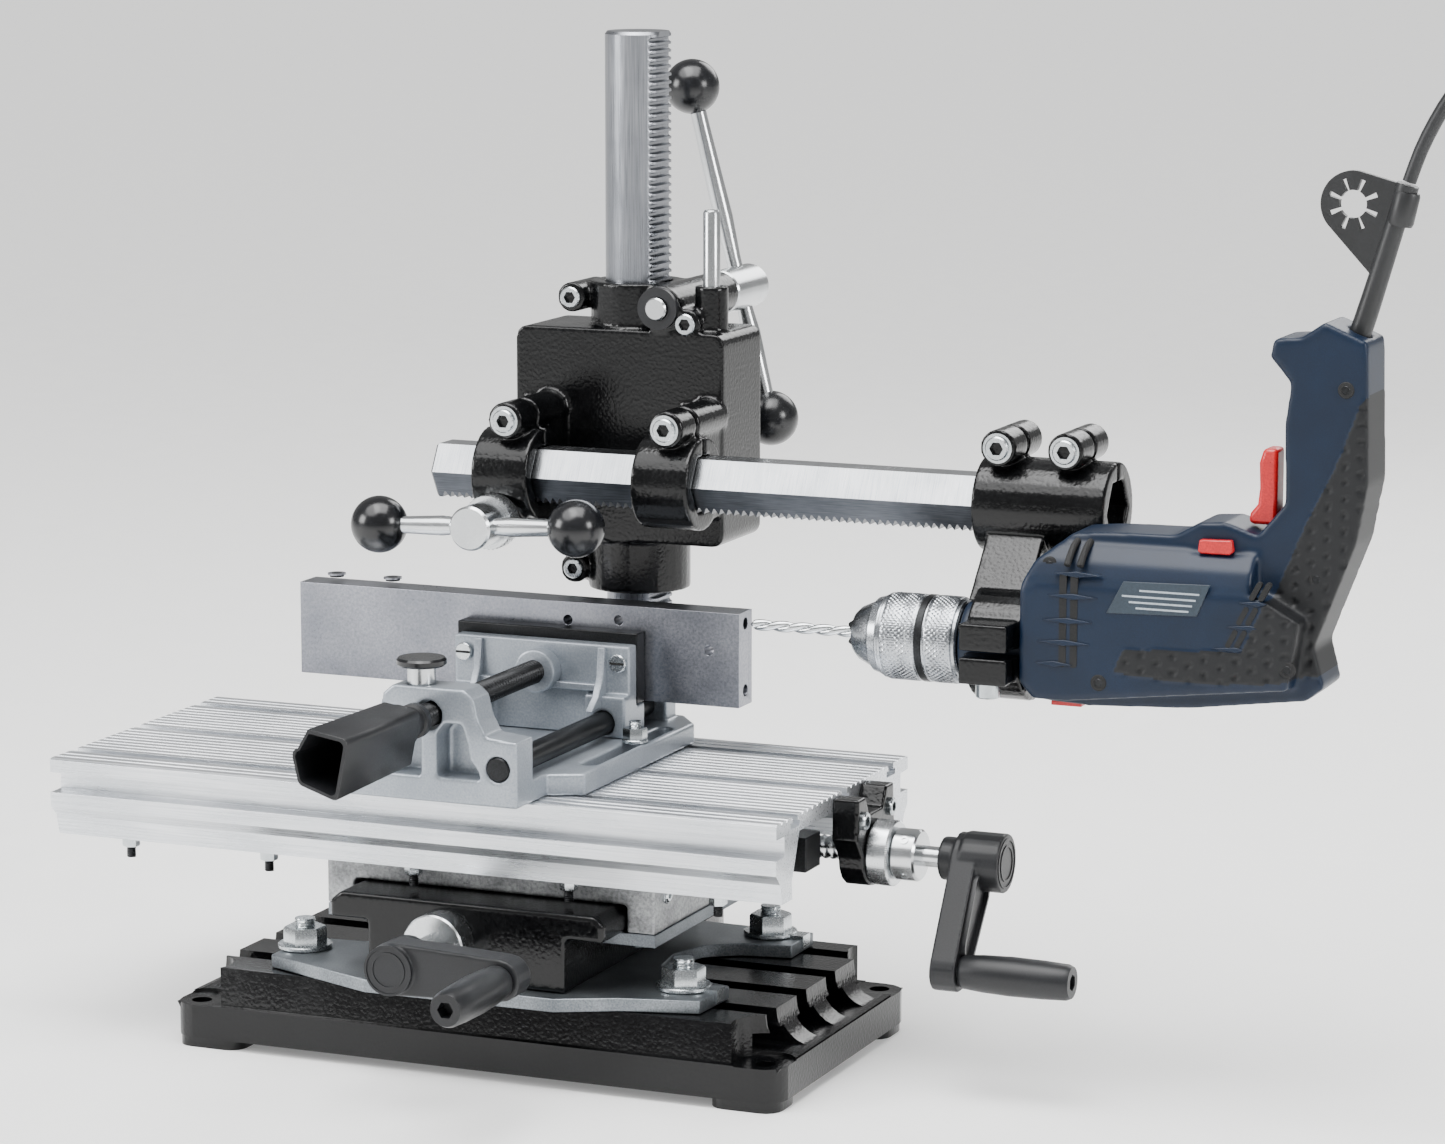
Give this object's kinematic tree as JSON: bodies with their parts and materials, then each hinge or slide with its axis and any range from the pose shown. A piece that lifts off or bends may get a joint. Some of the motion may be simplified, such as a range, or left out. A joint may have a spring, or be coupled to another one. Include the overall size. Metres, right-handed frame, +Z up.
{
  "type": "benchtop milling machine",
  "caption": "Benchtop milling machine: a corded drill on a rack arm, geared to a column, over a coordinate table with a vise holding a bar.",
  "frame": {"origin": "middle of the machine's footprint, at the bench it stands on, without the free cord", "axes": "+X right along the table, +Y away from the operator, +Z up"},
  "size_m": [0.8527, 0.434, 0.5241],
  "materials": {
    "black_enamel": "wrinkled satin enamel",
    "ground_steel": "ground and turned",
    "zinc_plate": "zinc plated",
    "aluminium": "mill finish extrusion",
    "cast_aluminium": "rough as cast",
    "black_oxide_steel": "black oxide",
    "silver_paint": "silver grey hammered paint",
    "black_plastic": "moulded",
    "blue_plastic": "moulded, fine texture",
    "red_plastic": "moulded",
    "black_rubber": "matte"
  },
  "bodies": {
    "stand": {"base_plate": "black_enamel", "column_foot": "black_enamel", "column": "ground_steel", "mounting_plate": "ground_steel", "plate_bolt_front_left": "zinc_plate", "plate_bolt_front_right": "zinc_plate", "plate_bolt_back_right": "zinc_plate", "cross_slide_base": "black_enamel", "cord": "black_rubber", "cord_coil": "black_rubber", "cord_plug": "black_rubber"},
    "cross_screw": {"cross_screw": "ground_steel", "cross_dial": "aluminium", "cross_crank_arm": "black_plastic"},
    "cross_grip": {"cross_crank_grip": "black_plastic"},
    "saddle": {"saddle": "cast_aluminium", "saddle_retainer_left": "cast_aluminium", "saddle_retainer_right": "cast_aluminium", "cross_feed_nut": "black_oxide_steel", "long_feed_nut": "black_oxide_steel"},
    "table": {"table": "aluminium", "guide_bar": "black_oxide_steel", "end_bearing": "black_enamel", "vise_body": "silver_paint", "vise_rod_left": "black_oxide_steel", "vise_rod_right": "black_oxide_steel", "vise_bolt_left": "zinc_plate", "vise_bolt_right": "zinc_plate", "fixed_jaw_plate": "black_oxide_steel", "workpiece_bar": "ground_steel"},
    "long_screw": {"long_screw": "ground_steel", "long_dial": "aluminium", "long_crank_arm": "black_plastic"},
    "long_grip": {"long_crank_grip": "black_plastic"},
    "vise_jaw": {"moving_jaw": "silver_paint", "moving_jaw_plate": "black_oxide_steel"},
    "vise_screw": {"vise_screw": "black_oxide_steel", "vise_handle": "black_plastic"},
    "release_button": {"release_button": "ground_steel"},
    "head": {"head_casting": "black_enamel"},
    "clamp_pin": {"clamp_pin": "ground_steel"},
    "lift_lever": {"lift_shaft": "ground_steel", "lift_rod": "ground_steel", "lift_ball_near": "black_plastic", "lift_ball_far": "black_plastic"},
    "feed_lever": {"feed_shaft": "ground_steel", "feed_rod": "ground_steel", "feed_ball_near": "black_plastic", "feed_ball_far": "black_plastic"},
    "arm": {"hex_bar": "ground_steel", "tool_holder": "black_enamel", "drill_housing": "blue_plastic", "cord_sleeve": "black_rubber", "key_holder": "black_rubber"},
    "spindle": {"drill_chuck": "ground_steel", "drill_bit": "ground_steel"},
    "trigger": {"drill_trigger": "red_plastic"},
    "direction_slider": {"direction_slider": "red_plastic"},
    "mode_selector": {"mode_selector": "red_plastic"}
  },
  "joints": [
    {"name": "saddle_feed", "type": "slide", "parent": "stand", "child": "saddle", "axis": [0, 1, 0], "range_m": [-0.04, 0.004]},
    {"name": "cross_screw_turn", "type": "hinge", "parent": "stand", "child": "cross_screw", "pos_m": [-0.10762, -0.12687, 0.07044], "axis": [0, 1, 0], "range_deg": [-361, 3601]},
    {"name": "cross_grip_spin", "type": "hinge", "parent": "cross_screw", "child": "cross_grip", "pos_m": [-0.049, -0.17238, 0.07044], "axis": [0, 1, 0], "continuous": true},
    {"name": "table_feed", "type": "slide", "parent": "saddle", "child": "table", "axis": [1, 0, 0], "range_m": [-0.068, 0.044]},
    {"name": "long_screw_turn", "type": "hinge", "parent": "table", "child": "long_screw", "pos_m": [0.119, 0.01312, 0.112], "axis": [1, 0, 0], "range_deg": [-3961, 6121]},
    {"name": "long_grip_spin", "type": "hinge", "parent": "long_screw", "child": "long_grip", "pos_m": [0.16537, -0.0205, 0.06398], "axis": [1, 0, 0], "continuous": true},
    {"name": "vise_jaw_slide", "type": "slide", "parent": "table", "child": "vise_jaw", "axis": [0, 1, 0], "range_m": [-0.06, 0]},
    {"name": "vise_screw_turn", "type": "hinge", "parent": "vise_jaw", "child": "vise_screw", "pos_m": [-0.1085, -0.11463, 0.18812], "axis": [0, 1, 0], "range_deg": [-7201, 1]},
    {"name": "button_press", "type": "slide", "parent": "table", "child": "release_button", "axis": [0, 0, 1], "range_m": [-0.0035, 0], "stiffness_N_per_m": 300, "springref_m": 0.003},
    {"name": "head_lift", "type": "slide", "parent": "stand", "child": "head", "axis": [0, 0, 1], "range_m": [-0.024, 0.11], "deforming": ["cord"]},
    {"name": "clamp_pin_turn", "type": "hinge", "parent": "head", "child": "clamp_pin", "pos_m": [-0.04637, 0.10762, 0.3815], "axis": [0, 0, 1], "range_deg": [-45, 45]},
    {"name": "lift_lever_turn", "type": "hinge", "parent": "head", "child": "lift_lever", "pos_m": [-0.07, 0.17325, 0.37012], "axis": [0, 1, 0], "range_deg": [-805, 180]},
    {"name": "arm_feed", "type": "slide", "parent": "head", "child": "arm", "axis": [1, 0, 0], "range_m": [-0.0742, 0.0247]},
    {"name": "feed_lever_turn", "type": "hinge", "parent": "head", "child": "feed_lever", "pos_m": [-0.1365, 0.03413, 0.26338], "axis": [0, 1, 0], "range_deg": [-545, 185]},
    {"name": "spindle_turn", "type": "hinge", "parent": "arm", "child": "spindle", "pos_m": [0.13037, 0.01575, 0.22225], "axis": [1, 0, 0], "continuous": true},
    {"name": "trigger_pull", "type": "slide", "parent": "arm", "child": "trigger", "axis": [1, 0, 0], "range_m": [0, 0.0048], "stiffness_N_per_m": 300, "springref_m": -0.004},
    {"name": "direction_slide", "type": "slide", "parent": "arm", "child": "direction_slider", "axis": [1, 0, 0], "range_m": [-0.004, 0.004]},
    {"name": "mode_slide", "type": "slide", "parent": "arm", "child": "mode_selector", "axis": [1, 0, 0], "range_m": [-0.004, 0.004]}
  ],
  "couplings": [
    {"joint": "cross_screw_turn", "follows": "saddle_feed", "rad_per_m": -1570.8},
    {"joint": "long_screw_turn", "follows": "table_feed", "rad_per_m": -1570.8},
    {"joint": "vise_screw_turn", "follows": "vise_jaw_slide", "rad_per_m": 2094.4},
    {"joint": "lift_lever_turn", "follows": "head_lift", "rad_per_m": -126.98},
    {"joint": "feed_lever_turn", "follows": "arm_feed", "rad_per_m": 126.98}
  ]
}
